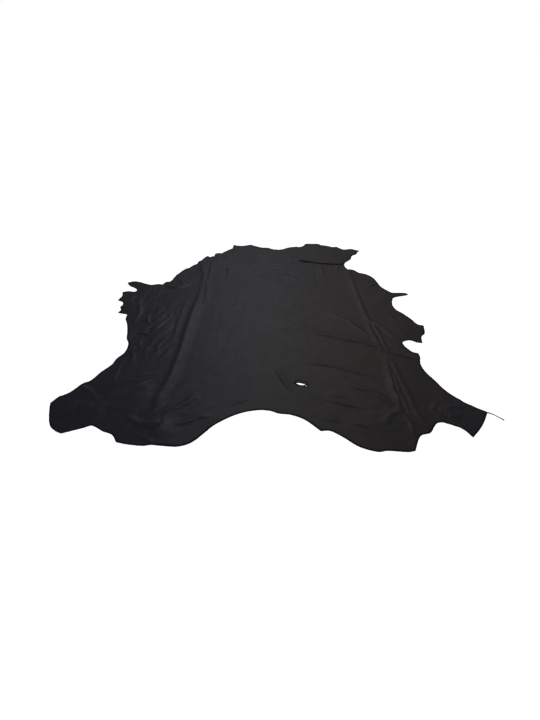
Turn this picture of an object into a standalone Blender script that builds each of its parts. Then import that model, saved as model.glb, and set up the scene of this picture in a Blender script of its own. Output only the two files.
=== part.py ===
# Leather hide
#
# A whole dressed cowhide lies flat with its grain side up. The butt and the two
# hind shanks point to -Y and the neck points to +Y. It is one sheet: the outline
# is drawn in the flat, a pleat near the neck folds over itself, and the creases
# that storage left in the leather stand up from the surface that it lies on.
# All sizes are in metres.

import math
from collections import namedtuple

import bmesh
import bpy
import numpy as np
from mathutils import Vector
from mathutils.geometry import delaunay_2d_cdt

# Sheet
THICKNESS = 0.0015
EDGE_SPACING = 0.022
FIELD_SPACING = 0.078
CREASE_SPACING = 0.036
POINT_CLEARANCE = 0.010
FIELD_CLEARANCE = 0.043
MERGE_DISTANCE = 0.00001

# Pleat near the neck: it starts at nothing and reaches its full tuck at the edge
PLEAT_START = 0.08
PLEAT_END = 0.65
PLEAT_LOW_X = 0.627
PLEAT_LOW_Y = 0.859
PLEAT_SWEEP = 0.571
PLEAT_TURN = math.radians(176)
PLEAT_TURN_SHARE = 0.35
PLEAT_TUCK = 0.050
PLEAT_LEAST_TUCK = 0.004
PLEAT_TUCK_SHARE = 0.30
PLEAT_BACK_ARC = 0.010
PLEAT_FRONT_ARC = 0.007
PLEAT_ARC_ROWS = 6
PLEAT_COLUMNS = 17
PLEAT_SETTLE = 0.060
PLEAT_SETTLE_PER_TUCK = 1.6

# Edges that turn by more than this stay sharp
SHARP_ANGLE = math.radians(50)

# Leather colour, linear
BLACK_LEATHER = (0.012, 0.012, 0.013, 1.0)
LEATHER_ROUGHNESS = 0.48

# Outline, anticlockwise seen from above. A sharp point is a corner, a tooth or
# the end of a tear, and the edge runs round through the others.
EdgePoint = namedtuple("EdgePoint", "x y turn")

LEFT_SHANK = (
    (-0.995, -0.690, "round"),
    (-1.035, -0.780, "round"),
    (-1.065, -0.800, "round"),
    (-1.105, -0.870, "round"),
    (-1.130, -0.900, "round"),
    (-1.160, -0.920, "sharp"),
    (-1.185, -0.975, "sharp"),
    (-1.160, -1.055, "round"),
    (-1.120, -1.145, "round"),
    (-1.080, -1.185, "round"),
    (-1.040, -1.205, "sharp"),
)

LEFT_HAM = (
    (-0.945, -1.166, "round"),
    (-0.905, -1.150, "round"),
    (-0.842, -1.187, "round"),
    (-0.785, -1.214, "round"),
    (-0.750, -1.265, "sharp"),
    (-0.700, -1.280, "round"),
    (-0.610, -1.295, "round"),
    (-0.575, -1.290, "round"),
    (-0.520, -1.295, "round"),
    (-0.440, -1.296, "round"),
)

BUTT_CURVE = (
    (-0.378, -1.264, "round"),
    (-0.292, -1.155, "round"),
    (-0.230, -1.100, "round"),
    (-0.150, -1.053, "round"),
    (-0.060, -1.031, "round"),
    (0.000, -1.037, "round"),
    (0.045, -1.057, "round"),
    (0.110, -1.068, "round"),
    (0.180, -1.106, "round"),
    (0.255, -1.188, "sharp"),
    (0.300, -1.187, "round"),
    (0.355, -1.225, "round"),
)

RIGHT_HAM = (
    (0.430, -1.294, "round"),
    (0.515, -1.327, "round"),
    (0.560, -1.320, "round"),
    (0.660, -1.328, "round"),
    (0.695, -1.320, "sharp"),
    (0.730, -1.245, "round"),
    (0.755, -1.215, "round"),
    (0.800, -1.200, "round"),
    (0.865, -1.127, "round"),
    (0.935, -1.150, "round"),
    (0.975, -1.180, "round"),
    (1.002, -1.232, "sharp"),
)

RIGHT_SHANK = (
    (1.070, -1.160, "round"),
    (1.110, -1.105, "round"),
    (1.141, -1.054, "sharp"),
)

# Sliver of the edge that trails from the corner of the right shank
StrandPoint = namedtuple("StrandPoint", "x y half_width")
STRAND = (
    (1.151, -1.053, 0.0030),
    (1.171, -1.065, 0.0021),
    (1.184, -1.081, 0.0018),
    (1.198, -1.096, 0.0020),
    (1.207, -1.108, 0.0034),
)

RIGHT_FLANK = (
    (1.146, -1.047, "sharp"),
    (1.090, -1.003, "round"),
    (1.040, -0.955, "round"),
    (0.985, -0.875, "round"),
    (0.950, -0.780, "round"),
    (0.920, -0.700, "round"),
    (0.910, -0.620, "round"),
    (0.925, -0.550, "round"),
    (0.928, -0.503, "sharp"),
)

RIGHT_BELLY_NOTCH = (
    (0.893, -0.484, "round"),
    (0.868, -0.440, "round"),
    (0.855, -0.395, "round"),
    (0.868, -0.372, "round"),
    (0.912, -0.357, "round"),
    (0.950, -0.380, "round"),
    (0.985, -0.387, "sharp"),
    (1.000, -0.310, "round"),
    (1.032, -0.270, "round"),
    (1.053, -0.167, "sharp"),
    (1.015, -0.150, "round"),
    (0.990, -0.080, "round"),
)

RIGHT_FORELEG = (
    (0.950, 0.000, "round"),
    (0.915, 0.055, "round"),
    (0.904, 0.115, "round"),
    (0.915, 0.185, "round"),
    (0.940, 0.236, "round"),
    (1.000, 0.265, "round"),
    (1.050, 0.281, "round"),
    (1.062, 0.300, "round"),
    (1.040, 0.318, "round"),
    (0.940, 0.322, "sharp"),
    (0.885, 0.410, "round"),
    (0.868, 0.480, "round"),
    (0.855, 0.560, "round"),
    (0.835, 0.615, "round"),
    (0.800, 0.660, "round"),
    (0.745, 0.693, "round"),
    (0.717, 0.738, "round"),
    (0.685, 0.757, "round"),
    (0.662, 0.758, "sharp"),
    (0.648, 0.800, "round"),
    (0.646, 0.850, "sharp"),
)

NECK_FLAP = (
    (0.657, 0.880, "round"),
    (0.690, 0.925, "round"),
    (0.718, 0.968, "round"),
    (0.735, 1.030, "round"),
    (0.752, 1.058, "round"),
    (0.785, 1.083, "round"),
    (0.803, 1.130, "round"),
    (0.829, 1.168, "sharp"),
    (0.790, 1.195, "round"),
    (0.755, 1.215, "round"),
    (0.690, 1.200, "round"),
    (0.655, 1.230, "round"),
    (0.630, 1.267, "sharp"),
    (0.585, 1.265, "round"),
    (0.545, 1.292, "round"),
    (0.485, 1.310, "sharp"),
)

NECK_EDGE = (
    (0.460, 1.343, "round"),
    (0.400, 1.346, "round"),
    (0.345, 1.344, "round"),
    (0.315, 1.290, "round"),
    (0.275, 1.262, "sharp"),
    (0.240, 1.270, "round"),
    (0.165, 1.245, "round"),
    (0.110, 1.204, "round"),
    (0.035, 1.201, "round"),
    (-0.015, 1.240, "round"),
    (-0.065, 1.246, "round"),
    (-0.140, 1.288, "round"),
    (-0.185, 1.321, "round"),
    (-0.235, 1.300, "round"),
    (-0.300, 1.296, "round"),
    (-0.347, 1.320, "sharp"),
)

LEFT_NECK_SCALLOPS = (
    (-0.350, 1.235, "sharp"),
    (-0.395, 1.178, "round"),
    (-0.445, 1.109, "sharp"),
    (-0.475, 1.116, "round"),
    (-0.502, 1.100, "sharp"),
    (-0.502, 1.050, "sharp"),
    (-0.540, 1.022, "sharp"),
    (-0.565, 1.045, "round"),
    (-0.590, 1.000, "round"),
    (-0.605, 0.945, "sharp"),
    (-0.632, 0.922, "sharp"),
    (-0.632, 0.877, "sharp"),
    (-0.662, 0.847, "round"),
    (-0.690, 0.790, "sharp"),
    (-0.725, 0.762, "round"),
    (-0.755, 0.695, "round"),
    (-0.780, 0.635, "round"),
    (-0.797, 0.555, "round"),
    (-0.812, 0.518, "sharp"),
    (-0.842, 0.513, "sharp"),
)

LEFT_FORELEG = (
    (-0.860, 0.468, "sharp"),
    (-0.903, 0.474, "round"),
    (-0.945, 0.461, "round"),
    (-1.000, 0.482, "round"),
    (-1.055, 0.514, "round"),
    (-1.105, 0.523, "round"),
    (-1.149, 0.498, "sharp"),
    (-1.115, 0.442, "round"),
    (-1.060, 0.396, "round"),
    (-1.040, 0.365, "round"),
    (-1.045, 0.339, "sharp"),
    (-1.110, 0.345, "round"),
    (-1.147, 0.334, "sharp"),
    (-1.130, 0.270, "round"),
    (-1.145, 0.200, "sharp"),
    (-1.100, 0.166, "round"),
    (-1.088, 0.130, "round"),
    (-1.097, 0.092, "round"),
    (-1.080, 0.048, "round"),
    (-1.094, 0.014, "sharp"),
    (-1.055, -0.006, "round"),
    (-1.020, -0.020, "round"),
    (-1.014, -0.075, "round"),
)

LEFT_FLANK = (
    (-0.985, -0.150, "round"),
    (-0.955, -0.258, "round"),
    (-0.940, -0.330, "round"),
    (-0.912, -0.400, "round"),
    (-0.912, -0.495, "round"),
    (-0.942, -0.558, "round"),
    (-0.955, -0.620, "round"),
)

NEAR_STRETCHES = (LEFT_SHANK, LEFT_HAM, BUTT_CURVE, RIGHT_HAM, RIGHT_SHANK)
RIGHT_STRETCHES = (RIGHT_FLANK, RIGHT_BELLY_NOTCH, RIGHT_FORELEG)
FAR_STRETCHES = (NECK_FLAP, NECK_EDGE, LEFT_NECK_SCALLOPS, LEFT_FORELEG, LEFT_FLANK)

# Tears that go right through, anticlockwise
TORN_HOLE = (
    (0.143, -0.792, "sharp"),
    (0.162, -0.809, "round"),
    (0.178, -0.817, "sharp"),
    (0.196, -0.820, "round"),
    (0.215, -0.816, "sharp"),
    (0.204, -0.799, "round"),
    (0.170, -0.784, "round"),
)
SMALL_TEAR = (
    (0.200, -0.829, "sharp"),
    (0.209, -0.838, "sharp"),
    (0.213, -0.826, "sharp"),
)

# Creases. Each row of a path is a place on the crest and how far the leather
# stands up there. The two widths are the foot of the crease on its left and on
# its right, looking along the path.
CrestPoint = namedtuple("CrestPoint", "x y rise")
Crease = namedtuple("Crease", "name left right path")

CREASES = (
    Crease("left long ridge", 0.046, 0.030, (
        (-0.605, 0.880, 0.003),
        (-0.560, 0.730, 0.007),
        (-0.538, 0.580, 0.008),
        (-0.535, 0.380, 0.009),
        (-0.540, 0.180, 0.011),
        (-0.556, -0.100, 0.012),
        (-0.563, -0.440, 0.012),
        (-0.583, -0.690, 0.009),
        (-0.605, -0.890, 0.004),
    )),
    Crease("left ham knuckle", 0.026, 0.024, (
        (-0.600, -1.010, 0.003),
        (-0.566, -1.110, 0.006),
        (-0.556, -1.190, 0.008),
        (-0.572, -1.265, 0.002),
    )),
    Crease("right long crease", 0.017, 0.028, (
        (0.652, 0.710, 0.002),
        (0.667, 0.480, 0.005),
        (0.675, 0.280, 0.006),
        (0.682, 0.030, 0.006),
        (0.692, -0.090, 0.005),
        (0.706, -0.200, 0.004),
        (0.740, -0.370, 0.004),
        (0.747, -0.480, 0.004),
    )),
    Crease("right crease fork", 0.018, 0.020, (
        (0.716, -0.130, 0.003),
        (0.745, -0.190, 0.004),
        (0.785, -0.290, 0.002),
    )),
    Crease("right ham outer crease", 0.018, 0.026, (
        (0.737, -0.580, 0.003),
        (0.747, -0.770, 0.005),
        (0.757, -0.970, 0.005),
        (0.782, -1.150, 0.003),
    )),
    Crease("right ham inner crease", 0.016, 0.024, (
        (0.700, -0.640, 0.002),
        (0.694, -0.780, 0.005),
        (0.698, -0.960, 0.006),
        (0.690, -1.030, 0.003),
    )),
    Crease("storage crease across the loin", 0.020, 0.030, (
        (0.125, -0.115, 0.002),
        (0.200, -0.200, 0.003),
        (0.300, -0.280, 0.004),
        (0.450, -0.340, 0.004),
        (0.600, -0.415, 0.004),
        (0.700, -0.475, 0.004),
        (0.825, -0.530, 0.005),
        (0.890, -0.558, 0.003),
    )),
    Crease("short crease above it", 0.018, 0.024, (
        (0.400, 0.010, 0.002),
        (0.525, -0.090, 0.004),
        (0.588, -0.190, 0.004),
        (0.650, -0.315, 0.002),
    )),
    Crease("crease across the rump", 0.020, 0.028, (
        (0.200, -0.600, 0.002),
        (0.350, -0.640, 0.003),
        (0.500, -0.700, 0.004),
        (0.655, -0.757, 0.003),
    )),
    Crease("short rump crease", 0.017, 0.022, (
        (0.425, -0.800, 0.002),
        (0.550, -0.915, 0.004),
        (0.645, -0.985, 0.002),
    )),
    Crease("right ham fold", 0.018, 0.022, (
        (0.275, -0.965, 0.002),
        (0.400, -1.030, 0.004),
        (0.525, -1.115, 0.002),
    )),
    Crease("right ham corner fold", 0.018, 0.020, (
        (0.600, -1.140, 0.002),
        (0.650, -1.090, 0.005),
        (0.690, -1.062, 0.002),
    )),
    Crease("left foreleg ridge", 0.030, 0.018, (
        (-0.968, 0.240, 0.003),
        (-0.945, 0.085, 0.007),
        (-0.940, -0.040, 0.006),
        (-0.955, -0.100, 0.002),
    )),
    Crease("upper belly wrinkle", 0.016, 0.016, (
        (-0.758, -0.030, 0.002),
        (-0.775, -0.110, 0.005),
        (-0.790, -0.200, 0.002),
    )),
    Crease("lower belly wrinkle", 0.016, 0.016, (
        (-0.708, -0.060, 0.002),
        (-0.730, -0.160, 0.005),
        (-0.750, -0.270, 0.002),
    )),
    Crease("left flank wrinkle", 0.020, 0.018, (
        (-0.912, -0.630, 0.002),
        (-0.906, -0.720, 0.005),
        (-0.898, -0.810, 0.002),
    )),
    Crease("left ham fold", 0.018, 0.030, (
        (-0.830, -0.845, 0.002),
        (-0.740, -0.768, 0.006),
        (-0.645, -0.722, 0.003),
    )),
    Crease("left ham short fold", 0.018, 0.022, (
        (-0.525, -1.065, 0.002),
        (-0.475, -1.020, 0.004),
        (-0.420, -0.980, 0.002),
    )),
    Crease("left butt fold", 0.018, 0.024, (
        (-0.480, -1.152, 0.002),
        (-0.390, -1.120, 0.005),
        (-0.300, -1.092, 0.002),
    )),
    Crease("left shank fold", 0.018, 0.024, (
        (-0.720, -1.085, 0.002),
        (-0.660, -1.125, 0.005),
        (-0.605, -1.165, 0.003),
    )),
    Crease("armpit fold", 0.026, 0.026, (
        (-0.805, 0.440, 0.003),
        (-0.760, 0.412, 0.006),
        (-0.705, 0.422, 0.006),
        (-0.645, 0.485, 0.003),
    )),
    Crease("left neck fold", 0.018, 0.022, (
        (-0.352, 1.070, 0.002),
        (-0.368, 1.000, 0.005),
        (-0.395, 0.930, 0.002),
    )),
    Crease("crease under the pleat", 0.016, 0.018, (
        (0.436, 0.800, 0.003),
        (0.440, 0.720, 0.005),
        (0.442, 0.635, 0.002),
    )),
    Crease("pull at the end of the pleat", 0.018, 0.024, (
        (0.612, 0.835, 0.004),
        (0.585, 0.780, 0.004),
        (0.560, 0.710, 0.002),
    )),
    Crease("right neck crease", 0.016, 0.018, (
        (0.770, 0.412, 0.002),
        (0.815, 0.430, 0.004),
        (0.850, 0.443, 0.002),
    )),
)

# Places where the leather bellies up a little between its creases
Swell = namedtuple("Swell", "name x y reach_x reach_y rise")

SWELLS = (
    Swell("left foreleg", -1.000, 0.100, 0.110, 0.200, 0.005),
    Swell("left belly", -0.760, -0.150, 0.160, 0.260, 0.004),
    Swell("left ham", -0.740, -0.900, 0.170, 0.150, 0.005),
    Swell("left shank", -1.000, -1.020, 0.150, 0.130, 0.006),
    Swell("right foreleg", 0.870, 0.250, 0.130, 0.160, 0.004),
    Swell("right flank", 0.860, -0.300, 0.120, 0.220, 0.004),
    Swell("right ham", 0.560, -1.120, 0.200, 0.150, 0.004),
    Swell("right shank", 0.960, -1.040, 0.120, 0.110, 0.005),
    Swell("left side of the neck", -0.450, 0.900, 0.170, 0.180, 0.004),
    Swell("neck", 0.050, 1.000, 0.220, 0.180, 0.003),
)


def smooth_step(share):
    share = np.clip(share, 0.0, 1.0)
    return share * share * (3.0 - 2.0 * share)


# Curves through points

def span_points(start, end, start_way, end_way, spacing):
    # One span of a Hermite curve, without its last point
    length = (end - start).length
    count = max(1, math.ceil(length / spacing))
    points = []
    for step in range(count):
        share = step / count
        square = share * share
        cube = square * share
        points.append(
            start * (2 * cube - 3 * square + 1)
            + start_way * (length * (cube - 2 * square + share))
            + end * (3 * square - 2 * cube)
            + end_way * (length * (cube - square))
        )
    return points


def run_points(rows, spacing):
    # An open run of the edge through its rows, with both of its end points
    places = [Vector((row.x, row.y)) for row in rows]
    ways = []
    last = len(places) - 1
    for index, row in enumerate(rows):
        if row.turn == "sharp" or index in (0, last):
            ways.append(None)
        else:
            ways.append((places[index + 1] - places[index - 1]).normalized())
    points = []
    for index in range(last):
        chord = (places[index + 1] - places[index]).normalized()
        points += span_points(
            places[index],
            places[index + 1],
            ways[index] or chord,
            ways[index + 1] or chord,
            spacing,
        )
    return points + [places[last]]


def crest_points(path, spacing):
    # The crest of a crease as x, y and rise, evenly spaced
    rows = [Vector(row) for row in path]
    before = [rows[0] * 2 - rows[1]] + rows[:-2]
    after = rows[2:] + [rows[-1] * 2 - rows[-2]]
    points = []
    for first, start, end, final in zip(before, rows[:-1], rows[1:], after):
        length = (end - start).length
        start_way = (end - first) / max((end - first).length, spacing)
        end_way = (final - start) / max((final - start).length, spacing)
        count = max(1, round(length / spacing))
        points += span_points(start, end, start_way, end_way, length / count * 1.0001)
    return points + [rows[-1]]


# Pleat

def pleat_share(x):
    return (np.clip(x, PLEAT_START, PLEAT_END) - PLEAT_START) / (PLEAT_END - PLEAT_START)


def pleat_turn(x):
    # How far the sheet turns back on itself, from nothing to almost half a turn
    return PLEAT_TURN * float(smooth_step(pleat_share(x) / PLEAT_TURN_SHARE))


def pleat_tuck(x):
    # Length of the hidden layer that runs back under the fold
    share = max(0.0, pleat_share(x) - PLEAT_TUCK_SHARE) / (1.0 - PLEAT_TUCK_SHARE)
    return PLEAT_LEAST_TUCK + (PLEAT_TUCK - PLEAT_LEAST_TUCK) * float(share)


def pleat_length(x):
    return PLEAT_BACK_ARC + pleat_tuck(x) + PLEAT_FRONT_ARC


def pleat_place(x, along):
    # How far the pleat has advanced and risen after a length along it
    turn = max(pleat_turn(x), 0.0001)
    tuck = pleat_tuck(x)
    back_radius = PLEAT_BACK_ARC / turn
    front_radius = PLEAT_FRONT_ARC / turn
    angle = turn * min(along / PLEAT_BACK_ARC, 1.0)
    advance = back_radius * math.sin(angle)
    rise = back_radius * (1.0 - math.cos(angle))
    straight = min(max(along - PLEAT_BACK_ARC, 0.0), tuck)
    advance += straight * math.cos(turn)
    rise += straight * math.sin(turn)
    front = min(max(along - PLEAT_BACK_ARC - tuck, 0.0), PLEAT_FRONT_ARC)
    angle = turn * (1.0 - front / PLEAT_FRONT_ARC)
    advance += front_radius * (math.sin(turn) - math.sin(angle))
    rise += front_radius * (math.cos(angle) - math.cos(turn))
    return advance, rise


def fold_line(x):
    # The front of the fold, seen from above
    x = min(max(x, PLEAT_START), PLEAT_END)
    return PLEAT_LOW_Y + PLEAT_SWEEP * (x - PLEAT_LOW_X) ** 2


def pleat_begin(x):
    # Where the near layer stops being flat, in the flat sheet
    return fold_line(x) - pleat_place(x, pleat_length(x))[0]


def taken_up(x):
    # Length that the pleat takes out of the hide
    return pleat_length(x) - pleat_place(x, pleat_length(x))[0]


def flat_from_laid(x, y):
    # A place seen from above, in the flat sheet before the pleat is folded
    if y > fold_line(x):
        return Vector((x, y + taken_up(x)))
    return Vector((x, y))


def laid_from_flat(x, flat_y):
    # Where a point of the flat sheet comes to lie, without its creases
    begin = pleat_begin(x)
    along = flat_y - begin
    length = pleat_length(x)
    if along <= 0.0:
        return x, flat_y, 0.0
    if along <= length:
        advance, rise = pleat_place(x, along)
        return x, begin + advance, rise
    advance, rise = pleat_place(x, length)
    beyond = along - length
    settle = PLEAT_SETTLE + PLEAT_SETTLE_PER_TUCK * pleat_tuck(x)
    return x, begin + advance + beyond, rise * (1.0 - float(smooth_step(beyond / settle)))


def pleat_rows(x):
    # Lengths along the pleat at which the mesh has a row of points
    tuck = pleat_tuck(x)
    steps = [step / PLEAT_ARC_ROWS for step in range(PLEAT_ARC_ROWS + 1)]
    back = [PLEAT_BACK_ARC * step for step in steps]
    front = [PLEAT_BACK_ARC + tuck + PLEAT_FRONT_ARC * step for step in steps]
    return back + [PLEAT_BACK_ARC + tuck / 2] + front


# Height of the creases and swells

def crease_height(points, crease):
    # Cosine cross-section from foot to foot, measured from the nearest crest place
    crest = np.array([tuple(p) for p in crest_points(crease.path, CREASE_SPACING / 3)])
    start = crest[:-1, :2]
    step = crest[1:, :2] - start
    reach = points[:, None, :] - start[None, :, :]
    share = np.clip((reach * step).sum(axis=2) / (step ** 2).sum(axis=1), 0.0, 1.0)
    away = reach - share[:, :, None] * step
    distance = np.hypot(away[:, :, 0], away[:, :, 1])
    nearest = distance.argmin(axis=1)
    row = np.arange(len(points))
    cross = step[nearest, 0] * reach[row, nearest, 1] - step[nearest, 1] * reach[row, nearest, 0]
    foot = np.where(cross > 0.0, crease.left, crease.right)
    profile = 0.5 + 0.5 * np.cos(np.pi * np.clip(distance[row, nearest] / foot, 0.0, 1.0))
    rise_start = crest[nearest, 2]
    rise_end = crest[nearest + 1, 2]
    return profile * (rise_start + share[row, nearest] * (rise_end - rise_start))


def swell_height(points, swell):
    across = (points[:, 0] - swell.x) / swell.reach_x
    along = (points[:, 1] - swell.y) / swell.reach_y
    return swell.rise * (1.0 - smooth_step(np.hypot(across, along)))


def surface_height(points):
    height = np.zeros(len(points))
    for crease in CREASES:
        height += crease_height(points, crease)
    for swell in SWELLS:
        height += swell_height(points, swell)
    return height


# Outline and points of the flat sheet

def named_rows(stretches):
    return [EdgePoint(*row) for stretch in stretches for row in stretch]


def strand_sides():
    # The two sides of the trailing sliver, out along one and back along the other
    rows = [StrandPoint(*row) for row in STRAND]
    places = [Vector((row.x, row.y)) for row in rows]
    out = []
    back = []
    for index, row in enumerate(rows):
        way = places[min(index + 1, len(rows) - 1)] - places[max(index - 1, 0)]
        side = Vector((way.y, -way.x)).normalized() * row.half_width
        out.append(places[index] + side)
        back.append(places[index] - side)
    return out + back[::-1]


def pleat_edge():
    # The end of the pleat at the hide's edge, in the flat sheet
    begin = pleat_begin(PLEAT_END)
    return [Vector((PLEAT_END, begin + along)) for along in pleat_rows(PLEAT_END)]


def flat_outline():
    near = run_points(named_rows(NEAR_STRETCHES), EDGE_SPACING)
    right = run_points(named_rows(RIGHT_STRETCHES), EDGE_SPACING)
    first = EdgePoint(*NEAR_STRETCHES[0][0])
    far = run_points(named_rows(FAR_STRETCHES) + [first], EDGE_SPACING)
    far = [Vector((p.x, p.y + taken_up(p.x))) for p in far]
    return near + strand_sides() + right + pleat_edge() + far[:-1]


def hole_loop(rows):
    rows = named_rows((rows,))
    return run_points(rows + rows[:1], EDGE_SPACING)[:-1]


def inside(points, loop):
    # Even-odd test of many points against one closed loop
    result = np.zeros(len(points), dtype=bool)
    for start, end in zip(loop, loop[1:] + loop[:1]):
        crosses = (start.y > points[:, 1]) != (end.y > points[:, 1])
        if not crosses.any():
            continue
        at_x = start.x + (points[:, 1] - start.y) * (end.x - start.x) / (end.y - start.y)
        result ^= crosses & (points[:, 0] < at_x)
    return result


def on_leather(points, loops):
    result = inside(points, loops[0])
    for hole in loops[1:]:
        result &= ~inside(points, hole)
    return result


def pleat_grid():
    # Rows of points along the pleat, nothing at its tip to the last full column
    columns = []
    for column in range(PLEAT_COLUMNS):
        share = (column + 0.5) / PLEAT_COLUMNS
        x = PLEAT_START + (PLEAT_END - PLEAT_START) * share
        begin = pleat_begin(x)
        columns.append([Vector((x, begin + along)) for along in pleat_rows(x)])
    return columns


def crease_candidates():
    # Crest, flanks and feet of every crease
    candidates = []
    for crease in CREASES:
        crest = crest_points(crease.path, CREASE_SPACING)
        for index, place in enumerate(crest):
            ahead = crest[min(index + 1, len(crest) - 1)]
            way = ahead.xy - crest[max(index - 1, 0)].xy
            side = Vector((-way.y, way.x)).normalized()
            for offset in (0.0, crease.left / 2, -crease.right / 2, crease.left, -crease.right):
                candidates.append(flat_from_laid(*(place.xy + side * offset)))
    return candidates


def field_candidates(loop):
    # Triangular grid over the whole sheet
    left = min(point.x for point in loop)
    right = max(point.x for point in loop)
    low = min(point.y for point in loop)
    high = max(point.y for point in loop)
    row_height = FIELD_SPACING * math.sqrt(3) / 2
    candidates = []
    for row in range(int((high - low) / row_height) + 1):
        for column in range(int((right - left) / FIELD_SPACING) + 1):
            x = left + FIELD_SPACING * (column + 0.5 * (row % 2))
            candidates.append(Vector((x, low + row_height * row)))
    return candidates


def keep_apart(fixed, candidates, clearance):
    # Adds each candidate that lies far enough from every point kept so far
    kept = list(fixed)
    near = np.array([tuple(point) for point in kept] + [(0.0, 0.0)] * len(candidates))
    count = len(kept)
    for point in candidates:
        gap = np.hypot(near[:count, 0] - point.x, near[:count, 1] - point.y)
        if gap.min() >= clearance:
            kept.append(point)
            near[count] = tuple(point)
            count += 1
    return kept


def sheet_mesh():
    # Triangles of the flat sheet, then every point put where it lies
    loops = [flat_outline(), hole_loop(TORN_HOLE), hole_loop(SMALL_TEAR)]
    points = []
    edges = []
    for loop in loops:
        first = len(points)
        points += loop
        edges += [(first + i, first + (i + 1) % len(loop)) for i in range(len(loop))]

    previous = None
    for column in pleat_grid():
        current = [len(points) + i for i in range(len(column))]
        points += column
        if previous:
            edges += list(zip(previous, current))
        previous = current
    first_of_edge = points.index(pleat_edge()[0])
    edges += [(index, first_of_edge + row) for row, index in enumerate(previous)]

    creases = crease_candidates()
    clear = on_leather(np.array([tuple(point) for point in creases]), loops)
    creases = [point for point, keep in zip(creases, clear) if keep]
    points = keep_apart(points, creases, POINT_CLEARANCE)

    field = field_candidates(loops[0])
    clear = on_leather(np.array([tuple(point) for point in field]), loops)
    field = [point for point, keep in zip(field, clear) if keep]
    points = keep_apart(points, field, FIELD_CLEARANCE)

    flat, _, faces, _, _, _ = delaunay_2d_cdt(points, edges, [], 0, MERGE_DISTANCE)
    flat_points = np.array([tuple(point) for point in flat])
    middles = flat_points[np.array(faces)].mean(axis=1)
    faces = [face for face, keep in zip(faces, on_leather(middles, loops)) if keep]

    laid = np.array([laid_from_flat(point.x, point.y) for point in flat])
    laid[:, 2] += surface_height(laid[:, :2])
    return laid, faces


# Object

def clear_file():
    for item in list(bpy.data.objects):
        bpy.data.objects.remove(item, do_unlink=True)


def leather_material():
    material = bpy.data.materials.new("finished black leather")
    material.use_nodes = True
    shader = material.node_tree.nodes["Principled BSDF"]
    shader.inputs["Base Color"].default_value = BLACK_LEATHER
    shader.inputs["Roughness"].default_value = LEATHER_ROUGHNESS
    return material


def build_hide():
    laid, faces = sheet_mesh()
    middle = (laid[:, :2].min(axis=0) + laid[:, :2].max(axis=0)) / 2
    laid[:, :2] -= middle

    mesh = bpy.data.meshes.new("hide")
    mesh.from_pydata([tuple(point) for point in laid], [], faces)
    sheet = bmesh.new()
    sheet.from_mesh(mesh)
    loose = [vertex for vertex in sheet.verts if not vertex.link_faces]
    bmesh.ops.delete(sheet, geom=loose, context="VERTS")
    bmesh.ops.recalc_face_normals(sheet, faces=sheet.faces)
    nearest_face = min(sheet.faces, key=lambda face: face.calc_center_median().y)
    if nearest_face.normal.z < 0.0:
        bmesh.ops.reverse_faces(sheet, faces=sheet.faces)
    sheet.to_mesh(mesh)
    sheet.free()
    mesh.shade_smooth()
    mesh.set_sharp_from_angle(angle=SHARP_ANGLE)
    mesh.materials.append(leather_material())

    hide = bpy.data.objects.new("hide", mesh)
    solid = hide.modifiers.new("Leather thickness", "SOLIDIFY")
    solid.thickness = THICKNESS
    solid.offset = 1.0
    solid.use_even_offset = True
    return hide


clear_file()
collection = bpy.data.collections.new("leather_hide")
bpy.context.scene.collection.children.link(collection)
collection.objects.link(build_hide())
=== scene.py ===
import math

import bmesh
import bpy
import numpy as np
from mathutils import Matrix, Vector, kdtree, noise
from mathutils.geometry import delaunay_2d_cdt


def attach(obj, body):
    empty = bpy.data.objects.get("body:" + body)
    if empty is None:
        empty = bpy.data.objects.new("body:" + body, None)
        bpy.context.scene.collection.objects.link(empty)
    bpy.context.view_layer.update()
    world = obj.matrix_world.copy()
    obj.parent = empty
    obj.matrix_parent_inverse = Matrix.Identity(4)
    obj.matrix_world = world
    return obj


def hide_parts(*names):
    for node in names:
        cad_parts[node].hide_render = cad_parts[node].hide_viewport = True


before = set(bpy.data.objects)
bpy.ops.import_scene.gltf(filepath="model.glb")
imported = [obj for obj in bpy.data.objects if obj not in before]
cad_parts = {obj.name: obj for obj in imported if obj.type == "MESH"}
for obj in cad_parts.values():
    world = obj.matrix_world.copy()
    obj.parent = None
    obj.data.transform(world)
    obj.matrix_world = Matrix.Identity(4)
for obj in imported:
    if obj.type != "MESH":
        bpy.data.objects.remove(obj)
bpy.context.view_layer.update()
print("stage: frame loaded")

# The tables of the hide are in millimetres.

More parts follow.
